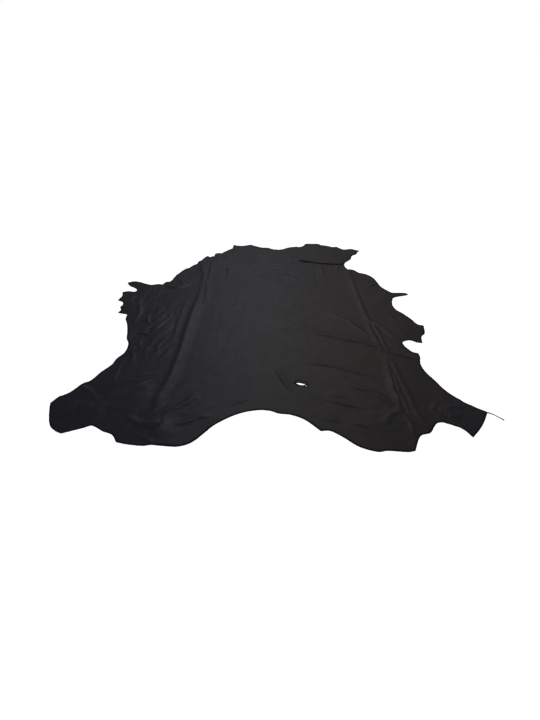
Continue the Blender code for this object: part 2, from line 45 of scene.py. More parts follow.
# The outline, anticlockwise from the left hind shank: how rough each stretch's cut or torn edge is,
# then its points. The edge runs round through a point unless it turns a corner there.
hideOutline = {
    "left shank": (1, [
        (-995, -690), (-1035, -780), (-1065, -800), (-1105, -870), (-1130, -900),
        (-1160, -920, "corner"), (-1185, -975, "corner"), (-1160, -1055), (-1120, -1145),
        (-1080, -1185), (-1040, -1205, "corner"),
    ]),
    "left ham": (1, [
        (-945, -1166), (-905, -1150), (-842, -1187), (-785, -1214), (-750, -1265, "corner"),
        (-700, -1280), (-610, -1295), (-575, -1290), (-520, -1295), (-440, -1296),
    ]),
    "butt curve": (0.8, [
        (-378, -1264), (-292, -1155), (-230, -1100), (-150, -1053), (-60, -1031), (0, -1037),
        (45, -1057), (110, -1068), (180, -1106), (255, -1188, "corner"), (300, -1187),
        (355, -1225),
    ]),
    "right ham": (1, [
        (430, -1294), (515, -1327), (560, -1320), (660, -1328), (695, -1320, "corner"),
        (730, -1245), (755, -1215), (800, -1200), (865, -1127), (935, -1150), (975, -1180),
        (1002, -1232, "corner"),
    ]),
    "right shank": (0.8, [
        (1070, -1160), (1110, -1105), (1141, -1054, "corner"),
    ]),
    "right flank": (1.2, [
        (1146, -1047, "corner"), (1090, -1003), (1040, -955), (985, -875), (950, -780),
        (920, -700), (910, -620), (925, -550), (928, -503, "corner"),
    ]),
    "right belly": (2.6, [
        (893, -484), (868, -440), (855, -395), (868, -372), (912, -357), (950, -380),
        (985, -387, "corner"), (1000, -310), (1032, -270), (1053, -167, "corner"), (1015, -150),
        (990, -80),
    ]),
    "right foreleg": (2.6, [
        (950, 0), (915, 55), (904, 115), (915, 185), (940, 236), (1000, 265), (1050, 281),
        (1062, 300), (1040, 318), (940, 322, "corner"), (885, 410), (868, 480), (855, 560),
        (835, 615), (800, 660), (745, 693), (717, 738), (685, 757), (662, 758, "corner"),
        (648, 800), (646, 850, "corner"),
    ]),
    "neck flap": (3.5, [
        (657, 880), (690, 925), (718, 968), (735, 1030), (752, 1058), (785, 1083), (803, 1130),
        (829, 1168, "corner"), (790, 1195), (755, 1215), (690, 1200), (655, 1230),
        (630, 1267, "corner"), (585, 1265), (545, 1292), (485, 1310, "corner"),
    ]),
    "neck edge": (4, [
        (460, 1343), (400, 1346), (345, 1344), (315, 1290), (275, 1262, "corner"), (240, 1270),
        (165, 1245), (110, 1204), (35, 1201), (-15, 1240), (-65, 1246), (-140, 1288), (-185, 1321),
        (-235, 1300), (-300, 1296), (-347, 1320, "corner"),
    ]),
    "left neck scallops": (4, [
        (-350, 1235, "corner"), (-395, 1178), (-445, 1109, "corner"), (-475, 1116),
        (-502, 1100, "corner"), (-502, 1050, "corner"), (-540, 1022, "corner"), (-565, 1045),
        (-590, 1000), (-605, 945, "corner"), (-632, 922, "corner"), (-632, 877, "corner"),
        (-662, 847), (-690, 790, "corner"), (-725, 762), (-755, 695), (-780, 635), (-797, 555),
        (-812, 518, "corner"), (-842, 513, "corner"),
    ]),
    "left foreleg": (3.5, [
        (-860, 468, "corner"), (-903, 474), (-945, 461), (-1000, 482), (-1055, 514), (-1105, 523),
        (-1149, 498, "corner"), (-1115, 442), (-1060, 396), (-1040, 365), (-1045, 339, "corner"),
        (-1110, 345), (-1147, 334, "corner"), (-1130, 270), (-1145, 200, "corner"), (-1100, 166),
        (-1088, 130), (-1097, 92), (-1080, 48), (-1094, 14, "corner"), (-1055, -6), (-1020, -20),
        (-1014, -75),
    ]),
    "left flank": (1.2, [
        (-985, -150), (-955, -258), (-940, -330), (-912, -400), (-912, -495), (-942, -558),
        (-955, -620),
    ]),
}

# Tears right through the leather, in the same form, and the sliver that trails from the right
# shank: x, y, half its width.
hideTears = {
    "rump hole": (1.8, [
        (148, -802, "corner"), (159, -812), (171, -819, "corner"), (188, -820),
        (204, -813, "corner"), (188, -807, "corner"), (171, -801), (159, -799, "corner"),
    ]),
    "small tear": (0.3, [
        (200, -824, "corner"), (205, -832, "corner"), (209, -823, "corner"),
    ]),
}
trailingSliver = [
    (1151, -1053, 4), (1171, -1065, 3.2), (1184, -1081, 2.8), (1198, -1096, 3.1),
    (1207, -1108, 4.4),
]

# Creases, by the pass that presses them in, so that two that cross are never in one pass: how far
# the left and right foot reach, seen along the path, then the path as x, y and rise. The short foot
# is the steep side.
hideCreases = {
    "long": {
        "left ridge": (74, 27, [
            (-604, 905, 3), (-568, 740, 6), (-546, 580, 5), (-541, 400, 4.5), (-544, 220, 4.8),
            (-555, 40, 12), (-561, -150, 14), (-563, -350, 11), (-567, -470, 9), (-573, -580, 8),
            (-580, -720, 9), (-596, -830, 7), (-608, -900, 6), (-611, -980, 5), (-602, -1055, 2)]),
        "left ham pinch": (110, 30, [
            (-548, -1090, 3), (-540, -1130, 11), (-552, -1165, 13), (-572, -1200, 9),
            (-590, -1235, 2)]),
        "right crease": (15, 58, [
            (654, 745, 4), (665, 610, 7), (669, 436, 8), (674, 225, 8), (679, 33, 8),
            (691, -99, 7), (697, -125, 3)]),
        "right crease inner branch": (15, 40, [
            (681, -125, 3), (683, -240, 7), (694, -317, 7), (705, -470, 3)]),
        "right crease outer branch": (14, 22, [
            (711, -135, 2), (720, -223, 5), (732, -333, 6), (738, -475, 3)]),
        "right ham inner": (11, 50, [
            (719, -545, 2), (714, -624, 5), (700, -736, 8), (695, -851, 9), (698, -958, 9),
            (693, -1045, 5)]),
        "right ham middle": (12, 11, [
            (728, -690, 2), (725, -760, 4), (721, -860, 5), (726, -950, 5), (732, -1030, 4),
            (738, -1080, 2)]),
        "right ham outer": (18, 30, [
            (738, -540, 2), (746, -638, 4), (756, -783, 5), (767, -905, 5), (770, -1029, 5),
            (783, -1100, 4), (802, -1165, 2)]),
        "left foreleg ridge": (30, 15, [
            (-986, 245, 2), (-969, 130, 6), (-940, 30, 7), (-941, -60, 6), (-957, -112, 2)]),
        "upper belly": (20, 13, [(-752, 15, 2), (-775, -50, 5), (-803, -120, 5), (-830, -195, 2)]),
        "lower belly": (20, 13, [
            (-702, -40, 2), (-732, -110, 5), (-763, -190, 5), (-790, -265, 2)]),
        "belly by the ridge": (18, 13, [(-633, -455, 2), (-651, -515, 4), (-680, -585, 2)]),
        "left flank": (20, 14, [(-905, -610, 2), (-903, -720, 5), (-898, -820, 2)]),
        "left neck": (26, 15, [(-352, 1075, 2), (-368, 1005, 5), (-392, 925, 4), (-470, 865, 2)]),
        "left neck streak": (28, 13, [(-505, 820, 1), (-503, 700, 3), (-500, 560, 1)]),
        "under the pleat": (11, 30, [(436, 830, 3), (441, 700, 5), (444, 560, 1)]),
        "pull of the pleat": (14, 22, [(602, 848, 5), (586, 800, 6), (566, 735, 2)]),
        "second pull of the pleat": (12, 22, [(368, 800, 1), (360, 600, 2.5), (345, 350, 1)]),
    },
    "across": {
        "loin": (62, 18, [
            (110, -125, 1.5), (232, -204, 5.5), (332, -277, 7.5), (458, -329, 8.2),
            (581, -379, 8.2), (654, -418, 8), (722, -475, 8), (792, -515, 8.4), (860, -550, 8),
            (912, -570, 4)]),
        "above the loin": (26, 46, [
            (400, 10, 1), (470, -42, 6), (528, -92, 8), (592, -197, 7), (655, -295, 2.5)]),
        "right fork": (16, 30, [
            (706, -98, 4.3), (738, -150, 7.2), (785, -232, 5.8), (812, -305, 1)]),
        "rump": (54, 18, [
            (175, -565, 1), (267, -614, 5), (343, -629, 6.2), (433, -665, 6.4), (519, -707, 6.4),
            (635, -750, 4.6)]),
        "short rump": (39, 18, [
            (410, -800, 1), (442, -816, 5), (504, -852, 7.5), (576, -895, 8), (645, -985, 5)]),
        "right ham": (36, 18, [
            (250, -925, 1), (391, -984, 5.1), (463, -1007, 5.8), (545, -1034, 2.9)]),
        "right ham corner": (36, 18, [
            (598, -1135, 4.3), (611, -1098, 6.5), (659, -1050, 5), (688, -1036, 2.5)]),
        "left ham": (44, 18, [
            (-855, -822, 2.9), (-775, -775, 8.7), (-728, -728, 8.7), (-662, -702, 2.9)]),
        "left ham second": (34, 20, [
            (-850, -890, 1), (-768, -838, 5), (-712, -794, 4.4), (-660, -772, 1)]),
        "left ham short": (44, 18, [
            (-538, -1058, 2.9), (-478, -1008, 7.2), (-425, -948, 6.5), (-392, -905, 1)]),
        "left butt": (42, 18, [
            (-505, -1160, 2.9), (-425, -1124, 8), (-366, -1090, 7.2), (-300, -1070, 1)]),
        "left shank": (31, 18, [
            (-740, -1088, 2.9), (-678, -1130, 8.7), (-640, -1148, 7.2), (-603, -1165, 2.9)]),
        "armpit": (34, 22, [
            (-805, 440, 4.3), (-760, 412, 8.7), (-705, 422, 8.7), (-645, 485, 4.3)]),
        "right neck": (26, 18, [(775, 432, 2.9), (820, 455, 7.2), (862, 478, 2.9)]),
        "by the hole": (34, 18, [
            (18, -630, 1), (56, -722, 5.8), (103, -842, 5.1), (125, -890, 1)]),
        "curled lip of the hole": (31, 18, [
            (136, -776, 1.5), (165, -768, 5.1), (196, -780, 5.1), (224, -803, 1.5)]),
    },
    "fine": {
        "ridge second": (48, 18, [
            (-520, 640, 1), (-505, 480, 4.2), (-488, 300, 4.2), (-486, 120, 1)]),
        "outside the ridge": (28, 20, [(-630, 200, 1), (-635, -100, 3.5), (-635, -350, 1)]),
        "flank ripple": (21, 15, [(-850, -320, 1), (-842, -380, 3.2), (-828, -450, 1)]),
        "flank second ripple": (21, 15, [(-870, -470, 1), (-852, -530, 4.9), (-842, -610, 1)]),
        "flank third ripple": (21, 15, [(-760, -360, 1), (-778, -440, 4.9), (-800, -520, 1)]),
        "belly dark line": (23, 15, [(-885, -265, 1), (-835, -276, 5.6), (-790, -292, 1)]),
        "belly curl": (18, 15, [
            (-862, 35, 1), (-861, -50, 3.8), (-848, -110, 4.4), (-822, -168, 1)]),
        "belly low ripple": (18, 15, [(-690, -330, 1), (-712, -420, 4.2), (-705, -520, 1)]),
        "dark spot of the ham": (80, 48, [
            (-765, -846, 1), (-738, -840, 4.4), (-702, -846, 4.4), (-678, -858, 1)]),
        "ham ripple": (32, 15, [(-520, -845, 1), (-470, -800, 5.6), (-425, -760, 1)]),
        "ham second ripple": (39, 18, [(-372, -722, 1), (-324, -653, 3.5), (-245, -595, 1)]),
        "left ham low": (42, 18, [(-815, -1020, 1), (-740, -1040, 2.4), (-680, -1045, 1)]),
        "hollow of the pinch": (62, 42, [
            (-632, -1162, 1), (-606, -1144, 10), (-575, -1132, 13), (-552, -1134, 3)]),
        "under the pinch": (23, 15, [(-645, -1232, 1), (-602, -1256, 5.6), (-568, -1280, 1)]),
        "along the butt": (25, 15, [(-555, -1280, 1), (-490, -1280, 4.2), (-448, -1264, 1)]),
        "left butt second": (30, 15, [(-500, -1100, 1), (-440, -1066, 4.9), (-370, -1020, 1)]),
        "middle of the butt": (30, 15, [(-210, -990, 1), (-160, -962, 3.5), (-115, -938, 1)]),
        "loin short": (23, 15, [(45, -185, 1), (100, -225, 3.5), (145, -258, 1)]),
        "right ham low": (23, 15, [(415, -1128, 1), (462, -1148, 3.8), (510, -1170, 1)]),
        "right ham low second": (23, 15, [(262, -1080, 1), (308, -1102, 4.2), (355, -1125, 1)]),
        "right ham end": (14, 20, [(705, -1075, 2.8), (720, -1142, 7), (717, -1205, 2.8)]),
        "right ham above": (32, 15, [(225, -870, 1), (330, -915, 3.5), (420, -925, 1)]),
        "neck ripple": (23, 15, [(-500, 905, 1), (-455, 930, 4.2), (-410, 960, 1)]),
        "neck long ripple": (28, 15, [(-357, 830, 1), (-351, 720, 4.2), (-344, 610, 1)]),
        "neck double line": (17, 15, [(-174, 1060, 1), (-170, 940, 4.2), (-166, 830, 1)]),
        "neck double line right": (17, 15, [(-137, 1060, 1), (-134, 940, 4.2), (-131, 830, 1)]),
        "arc in the neck": (25, 16, [(25, 650, 1), (130, 630, 7), (248, 508, 1)]),
        "second arc in the neck": (25, 16, [(15, 480, 1), (80, 452, 7), (155, 400, 1)]),
        "left shank line": (28, 15, [
            (-1080, -820, 1), (-1036, -848, 7), (-990, -890, 5.6), (-962, -928, 1)]),
        "right shank dent": (21, 15, [(925, -1085, 1), (960, -1082, 5.6), (990, -1105, 1)]),
        "right shank second dent": (21, 15, [(925, -1030, 1), (955, -1012, 4.2), (985, -1020, 1)]),
        "right shank third dent": (21, 15, [(832, -1048, 1), (868, -1062, 4.2), (890, -1098, 1)]),
        "left foreleg line": (21, 15, [(-1050, 330, 1), (-1042, 240, 4.2), (-1052, 150, 1)]),
        "armpit second": (21, 15, [(-745, 545, 1), (-708, 505, 4.2), (-690, 450, 1)]),
    },
}

# Loose parts of the hide, where the leather draws into wrinkles: middle, reach across and along,
# which way the wrinkles run in degrees from the backbone, their width and length, and their rise.
hideDrawn = {
    "left belly": ((-800, -220), (300, 580), 24, (60, 170), 5.2),
    "left ham": ((-720, -950), (320, 340), 48, (58, 150), 4.6),
    "left shank": ((-1000, -1000), (260, 280), 40, (55, 120), 5.5),
    "left butt": ((-420, -1050), (260, 260), 64, (50, 170), 3.5),
    "left foreleg": ((-980, 260), (240, 300), 12, (60, 140), 4.0),
    "left neck": ((-580, 780), (300, 340), -18, (60, 160), 3.2),
    "back": ((50, 50), (850, 1300), 2, (80, 420), 1.6),
    "neck": ((20, 950), (620, 460), 66, (70, 190), 4.4),
    "flap": ((550, 1080), (360, 260), 76, (56, 150), 3.2),
    "right ham": ((480, -1020), (380, 320), 112, (56, 180), 4.0),
    "right belly": ((860, -350), (260, 550), -22, (60, 150), 2.6),
    "right foreleg": ((860, 380), (280, 400), 40, (60, 150), 2.4),
    "right shank": ((940, -1040), (240, 200), 20, (46, 90), 4.5),
}

# Places where the leather bellies up between its creases: x, y, reach across, reach along, rise.
hideSwells = {
    "left foreleg": (-1000, 100, 110, 200, 5),
    "left belly": (-760, -150, 160, 260, 4),
    "left ham": (-740, -900, 170, 150, 5),
    "left shank": (-1000, -1020, 150, 130, 6),
    "left butt": (-560, -1240, 260, 250, 9),
    "right foreleg": (870, 250, 130, 160, 4),
    "right flank": (860, -300, 120, 220, 4),
    "right ham": (560, -1120, 200, 150, 4),
    "right shank": (960, -1040, 120, 110, 5),
    "left side of the neck": (-450, 900, 170, 180, 4),
    "neck": (50, 1000, 220, 180, 3),
}

hideSheet = {  # in metres
    "thickness": 0.0015,
    "edgeSpacing": 0.0075,
    "fieldSpacing": 0.0112,
    "fieldClearance": 0.55,  # share of that spacing which the field keeps from other points
    "creaseSpacing": 0.010,
    "creaseThinning": 0.006,
    "creaseClearance": 0.0055,
    "mergeDistance": 0.00001,
    "frayLength": 0.013,  # how long one bite of a torn edge is
    "sharpTurn": math.radians(50),
}

hidePleat = {  # in metres
    "start": 0.20,  # x of its inner end
    "end": 0.65,
    "lowX": 0.627,  # where its front line comes nearest, and how fast that line sweeps away
    "lowY": 0.859,
    "sweep": 0.571,
    "turn": math.radians(177),
    "turnShare": 0.40,  # share of its length over which it turns right over
    "tuck": 0.050,
    "leastTuck": 0.004,
    "tuckShare": 0.30,  # share of its length before the tuck grows
    "backArc": 0.0062,  # lengths of leather in its two bends
    "frontArc": 0.0032,
    "arcRows": 8,
    "columns": 52,
    "settle": 0.060,  # how far beyond the pleat the hide comes down to the floor
    "settlePerTuck": 1.6,
}


def inMetres(row):
    return tuple(value / 1000 for value in row)


def smoothStep(share):
    share = np.clip(share, 0.0, 1.0)
    return share * share * (3.0 - 2.0 * share)


# Curves through the points of the tables

def hermiteSpan(start, end, startWay, endWay, spacing):
    length = (end - start).length
    count = max(1, math.ceil(length / spacing))
    span = []
    for step in range(count):
        share = step / count
        square = share * share
        cube = square * share
        span.append(
            start * (2 * cube - 3 * square + 1)
            + startWay * (length * (cube - 2 * square + share))
            + end * (3 * square - 2 * cube)
            + endWay * (length * (cube - square))
        )
    return span


def frayed(points, amount):
    # A torn edge is bitten in and out at random, always the same way
    rough = []
    for before, here, after in zip([points[0]] + points[:-1], points, points[1:] + [points[-1]]):
        way = (after - before).normalized()
        bite = noise.noise(Vector((here.x, here.y, 0.0)) / hideSheet["frayLength"])
        rough.append(here + Vector((way.y, -way.x)) * bite * amount)
    return rough


def edgeRun(stretches, closing=None):
    # One run of the outline through several stretches
    rows = [(row, fray / 1000) for fray, points in stretches for row in points]
    if closing:
        rows.append((closing, rows[-1][1]))
    places = [Vector(inMetres(row[:2])) for row, fray in rows]
    last = len(rows) - 1
    ways = [None] * len(rows)
    for i in range(1, last):
        if "corner" not in rows[i][0]:
            ways[i] = (places[i + 1] - places[i - 1]).normalized()
    run = []
    for i in range(last):
        chord = (places[i + 1] - places[i]).normalized()
        span = hermiteSpan(
            places[i], places[i + 1], ways[i] or chord, ways[i + 1] or chord,
            hideSheet["edgeSpacing"],
        )
        run += span[:1] + frayed(span, rows[i][1])[1:]
    return run + [places[last]]


def creasePlaces(path, spacing):
    # Points along a crest as x, y and rise in metres
    rows = [Vector(inMetres(row)) for row in path]
    before = [rows[0] * 2 - rows[1]] + rows[:-2]
    after = rows[2:] + [rows[-1] * 2 - rows[-2]]
    places = []
    for first, start, end, final in zip(before, rows[:-1], rows[1:], after):
        startWay = (end - first).normalized()
        endWay = (final - start).normalized()
        places += hermiteSpan(start, end, startWay, endWay, spacing)
    return places + [rows[-1]]


# The pleat: the neck is folded over the shoulder, from nothing at the inner end to a full tuck

def pleatSizes(x):
    # Turn and tuck of the pleat, and its front line seen from above
    p = hidePleat
    x = np.clip(x, p["start"], p["end"])
    share = (x - p["start"]) / (p["end"] - p["start"])
    turn = np.maximum(p["turn"] * smoothStep(share / p["turnShare"]), 0.0001)
    grown = np.maximum(share - p["tuckShare"], 0.0) / (1.0 - p["tuckShare"])
    tuck = p["leastTuck"] + (p["tuck"] - p["leastTuck"]) * grown
    front = p["lowY"] + p["sweep"] * (x - p["lowX"]) ** 2
    return turn, tuck, front


def pleatPlace(turn, tuck, along):
    # How far the sheet has gone forward and up after a length along the pleat
    p = hidePleat
    backRadius = p["backArc"] / turn
    frontRadius = p["frontArc"] / turn
    back = turn * np.clip(along / p["backArc"], 0.0, 1.0)
    straight = np.clip(along - p["backArc"], 0.0, tuck)
    front = turn * (1.0 - np.clip((along - p["backArc"] - tuck) / p["frontArc"], 0.0, 1.0))
    forward = backRadius * np.sin(back) + straight * np.cos(turn)
    forward = forward + frontRadius * (np.sin(turn) - np.sin(front))
    up = backRadius * (1.0 - np.cos(back)) + straight * np.sin(turn)
    up = up + frontRadius * (np.cos(front) - np.cos(turn))
    return forward, up


def pleatLength(tuck):
    return hidePleat["backArc"] + tuck + hidePleat["frontArc"]


def flatShift(x):
    # Length that the pleat takes out of the hide at this place
    turn, tuck, front = pleatSizes(x)
    return pleatLength(tuck) - pleatPlace(turn, tuck, pleatLength(tuck))[0]


def flatPlace(x, y):
    # From a place seen from above to the same place on the opened hide
    if y > pleatSizes(x)[2]:
        return Vector((x, y + float(flatShift(x))))
    return Vector((x, y))


def laidPlaces(flat):
    # From the opened hide to where it lies
    turn, tuck, front = pleatSizes(flat[:, 0])
    length = pleatLength(tuck)
    forward, up = pleatPlace(turn, tuck, length)
    begin = front - forward
    along = flat[:, 1] - begin
    partForward, partUp = pleatPlace(turn, tuck, np.clip(along, 0.0, length))
    beyond = np.maximum(along - length, 0.0)
    settle = hidePleat["settle"] + hidePleat["settlePerTuck"] * tuck
    y = np.where(along <= 0.0, flat[:, 1], begin + partForward + beyond)
    z = np.where(along <= length, partUp, up * (1.0 - smoothStep(beyond / settle)))
    return np.stack([flat[:, 0], y, z], axis=1)


def pleatRows(x):
    turn, tuck, front = pleatSizes(x)
    begin = front - pleatPlace(turn, tuck, pleatLength(tuck))[0]
    steps = np.linspace(0.0, 1.0, hidePleat["arcRows"] + 1)
    backRows = hidePleat["backArc"] * steps
    midRows = hidePleat["backArc"] + tuck * np.array([0.25, 0.5, 0.75])
    frontRows = hidePleat["backArc"] + tuck + hidePleat["frontArc"] * steps
    rows = np.concatenate([backRows, midRows, frontRows])
    return [Vector((x, float(begin + row))) for row in rows]


# Points of the opened hide

def sliverSides():
    rows = [inMetres(row) for row in trailingSliver]
    places = [Vector(row[:2]) for row in rows]
    out, back = [], []
    for i, (place, row) in enumerate(zip(places, rows)):
        way = places[min(i + 1, len(places) - 1)] - places[max(i - 1, 0)]
        side = Vector((way.y, -way.x)).normalized() * row[2]
        out.append(place + side)
        back.append(place - side)
    return out + back[::-1]


def openedOutline():
    stretches = list(hideOutline.values())
    near, right, far = stretches[:5], stretches[5:8], stretches[8:]
    farRun = edgeRun(far, closing=near[0][1][0])[:-1]
    farRun = [Vector((p.x, p.y + float(flatShift(p.x)))) for p in farRun]
    return edgeRun(near) + sliverSides() + edgeRun(right) + pleatRows(hidePleat["end"]) + farRun


def tearLoop(tear):
    return edgeRun([tear], closing=tear[1][0])[:-1]


def insideLoop(points, loop):
    within = np.zeros(len(points), dtype=bool)
    for start, end in zip(loop, loop[1:] + loop[:1]):
        crosses = (start.y > points[:, 1]) != (end.y > points[:, 1])
        if crosses.any():
            atX = start.x + (points[:, 1] - start.y) * (end.x - start.x) / (end.y - start.y)
            within ^= crosses & (points[:, 0] < atX)
    return within


def onLeather(points, loops):
    keep = insideLoop(points, loops[0])
    for loop in loops[1:]:
        keep &= ~insideLoop(points, loop)
    return keep


def creaseRows():
    # Rows of points on the crest, flanks and feet of each crease, so that it comes out crisp
    rows = []
    for creases in hideCreases.values():
        for leftFoot, rightFoot, path in creases.values():
            left, right = inMetres((leftFoot, rightFoot))
            places = creasePlaces(path, hideSheet["creaseSpacing"])
            for i, place in enumerate(places):
                way = places[min(i + 1, len(places) - 1)].xy - places[max(i - 1, 0)].xy
                side = Vector((-way.y, way.x)).normalized()
                for offset in (0.0, left / 2, left, -right / 2, -right):
                    rows.append(flatPlace(*(place.xy + side * offset)))
    return rows


def fieldGrid(loop):
    spacing = hideSheet["fieldSpacing"]
    low = Vector((min(p.x for p in loop), min(p.y for p in loop)))
    high = Vector((max(p.x for p in loop), max(p.y for p in loop)))
    rowHeight = spacing * math.sqrt(3) / 2
    grid = []
    for row in range(int((high.y - low.y) / rowHeight) + 1):
        for column in range(int((high.x - low.x) / spacing) + 1):
            x = low.x + spacing * (column + 0.5 * (row % 2))
            grid.append(Vector((x, low.y + rowHeight * row)))
    return grid


def addApart(points, candidates, loops, clearance):
    # Keeps the candidates that lie on the leather, clear of the points so far
    tree = kdtree.KDTree(len(points))
    for i, point in enumerate(points):
        tree.insert((point.x, point.y, 0.0), i)
    tree.balance()
    keep = onLeather(np.array([tuple(point) for point in candidates]), loops)
    added = []
    for point, fits in zip(candidates, keep):
        if fits and tree.find((point.x, point.y, 0.0))[2] >= clearance:
            added.append(point)
    return points + added


def thinned(points, clearance):
    # Drops points that are too close to one before them
    cells = {}
    kept = []
    for point in points:
        cell = (int(point.x // clearance), int(point.y // clearance))
        near = (-1, 0, 1)
        around = [cells.get((cell[0] + i, cell[1] + j), ()) for i in near for j in near]
        if all((point - other).length >= clearance for group in around for other in group):
            cells.setdefault(cell, []).append(point)
            kept.append(point)
    return kept


def openedHide():
    # Triangles of the opened hide
    loops = [openedOutline()] + [tearLoop(tear) for tear in hideTears.values()]
    points, edges = [], []
    for loop in loops:
        first = len(points)
        points += loop
        edges += [(first + i, first + (i + 1) % len(loop)) for i in range(len(loop))]
    edgeRows = pleatRows(hidePleat["end"])
    previous = None
    for column in range(hidePleat["columns"]):
        share = (column + 0.5) / hidePleat["columns"]
        rows = pleatRows(hidePleat["start"] + (hidePleat["end"] - hidePleat["start"]) * share)
        current = range(len(points), len(points) + len(rows))
        points += rows
        if previous:
            edges += list(zip(previous, current))
        previous = current
    endRow = points.index(edgeRows[0])
    edges += [(index, endRow + i) for i, index in enumerate(previous)]
    crests = thinned(creaseRows(), hideSheet["creaseThinning"])
    points = addApart(points, crests, loops, hideSheet["creaseClearance"])
    clearance = hideSheet["fieldSpacing"] * hideSheet["fieldClearance"]
    points = addApart(points, fieldGrid(loops[0]), loops, clearance)
    flat, _, faces, *_ = delaunay_2d_cdt(points, edges, [], 0, hideSheet["mergeDistance"])
    flat = np.array([tuple(point) for point in flat])
    keep = onLeather(flat[np.array(faces)].mean(axis=1), loops)
    return flat, [face for face, fits in zip(faces, keep) if fits]


def swellHeights(laid):
    height = np.zeros(len(laid))
    for x, y, across, along, rise in map(inMetres, hideSwells.values()):
        share = np.hypot((laid[:, 0] - x) / across, (laid[:, 1] - y) / along)
        height += rise * (1.0 - smoothStep(share))
    return height


def addObject(name, data):
    thing = bpy.data.objects.new(name, data)
    bpy.context.scene.collection.objects.link(thing)
    return thing


def layHide():
    # The opened hide laid down with its pleat, grain side up
    flat, faces = openedHide()
    laid = laidPlaces(flat)
    floorPlace = np.stack([laid[:, 0], laid[:, 1], np.zeros(len(laid))], axis=1)
    laid[:, 2] += swellHeights(laid)
    mesh = bpy.data.meshes.new("hide_sheet")
    mesh.from_pydata([tuple(point) for point in laid], [], faces)
    mesh.attributes.new("floorPlace", "FLOAT_VECTOR", "POINT")
    mesh.attributes["floorPlace"].data.foreach_set("vector", floorPlace.ravel())
    mesh.attributes.new("fromEdge", "FLOAT", "POINT")  # metres to the trimmed edge
    uv = mesh.uv_layers.new(name="openedHide")  # metres on the opened hide
    corners = np.zeros(len(mesh.loops), dtype=np.int32)
    mesh.loops.foreach_get("vertex_index", corners)
    uv.data.foreach_set("uv", flat[corners].ravel())
    sheet = bmesh.new()
    sheet.from_mesh(mesh)
    bmesh.ops.delete(sheet, geom=[v for v in sheet.verts if not v.link_faces], context="VERTS")
    bmesh.ops.recalc_face_normals(sheet, faces=sheet.faces)
    nearFace = min(sheet.faces, key=lambda face: face.calc_center_median().y)
    if nearFace.normal.z < 0.0:
        bmesh.ops.reverse_faces(sheet, faces=sheet.faces)
    fromEdge = sheet.verts.layers.float["fromEdge"]
    rim = [vertex.co.copy() for vertex in sheet.verts if vertex.is_boundary]
    tree = kdtree.KDTree(len(rim))
    for i, place in enumerate(rim):
        tree.insert(place, i)
    tree.balance()
    for vertex in sheet.verts:
        vertex[fromEdge] = tree.find(vertex.co)[2]
    sheet.to_mesh(mesh)
    sheet.free()
    return addObject("hide_sheet", mesh)


hide = layHide()
print("stage: hide laid,", len(hide.data.polygons), "triangles on the grain side")


# Nodes

def linear(hexColour):
    parts = [int(hexColour[i:i + 2], 16) / 255 for i in (1, 3, 5)]
    return [p / 12.92 if p <= 0.04045 else ((p + 0.055) / 1.055) ** 2.4 for p in parts] + [1.0]


def setSockets(tree, node, sockets):
    # A socket takes a value, another node's socket, or another node for its first output
    for key, value in sockets.items():
        if isinstance(value, bpy.types.Node):
            value = next(output for output in value.outputs if output.enabled)
        if isinstance(value, bpy.types.NodeSocket):
            tree.links.new(value, node.inputs[key])
        else:
            node.inputs[key].default_value = value


def addNode(tree, kind, settings=None, sockets=None):
    node = tree.nodes.new(kind)
    for name, value in (settings or {}).items():
        setattr(node, name, value)
    setSockets(tree, node, sockets or {})
    return node


def newTree(name, inputs):
    # A geometry tree with named inputs, its input node, and each input's identifier
    tree = bpy.data.node_groups.new(name, "GeometryNodeTree")
    tree.interface.new_socket("Geometry", in_out="OUTPUT", socket_type="NodeSocketGeometry")
    identifiers = {}
    for label, kind in {"Geometry": "Geometry", **inputs, "Leather": "Material"}.items():
        socket = tree.interface.new_socket(label, in_out="INPUT", socket_type="NodeSocket" + kind)
        identifiers[label] = socket.identifier
    return tree, addNode(tree, "NodeGroupInput").outputs, identifiers


def raiseSheet(tree, given, height, workedPerMetre):
    # Lifts the sheet by a height, notes how worked the leather is, and closes the tree
    worked = addNode(
        tree, "ShaderNodeMath", {"operation": "MULTIPLY"}, {0: height, 1: workedPerMetre})
    before = addNode(
        tree, "GeometryNodeInputNamedAttribute", {"data_type": "FLOAT"}, {"Name": "worked"})
    most = addNode(tree, "ShaderNodeMath", {"operation": "MAXIMUM"}, {0: before, 1: worked})
    lift = addNode(tree, "ShaderNodeCombineXYZ", {}, {"Z": height})
    raised = addNode(
        tree, "GeometryNodeSetPosition", {}, {"Geometry": given["Geometry"], "Offset": lift})
    noted = addNode(
        tree, "GeometryNodeStoreNamedAttribute", {"data_type": "FLOAT", "domain": "POINT"},
        {"Geometry": raised, "Name": "worked", "Value": most},
    )
    real = addNode(tree, "GeometryNodeRealizeInstances", {}, {0: noted})
    dressed = addNode(
        tree, "GeometryNodeSetMaterial", {}, {"Geometry": real, "Material": given["Leather"]})
    addNode(tree, "NodeGroupOutput", {}, {0: dressed})


def useTree(piece, label, tree, identifiers, values):
    modifier = piece.modifiers.new(label, "NODES")
    modifier.node_group = tree
    for name, value in values.items():
        modifier[identifiers[name]] = value


def bakeModifiers(piece):
    graph = bpy.context.evaluated_depsgraph_get()
    mesh = bpy.data.meshes.new_from_object(
        piece.evaluated_get(graph), preserve_all_data_layers=True, depsgraph=graph
    )
    piece.modifiers.clear()
    piece.data = mesh


# power: how crisp a crest is. worked: how soon it looks rubbed, for each metre of its height.
creaseForm = {"power": 2.0, "worked": 120.0}
wrinkleForm = {
    "fadeFrom": 0.35,  # share of the reach within which the wrinkles stand full
    "valleyWidth": 0.28,
    "roundness": 0.8,
    "worked": 200.0,
}


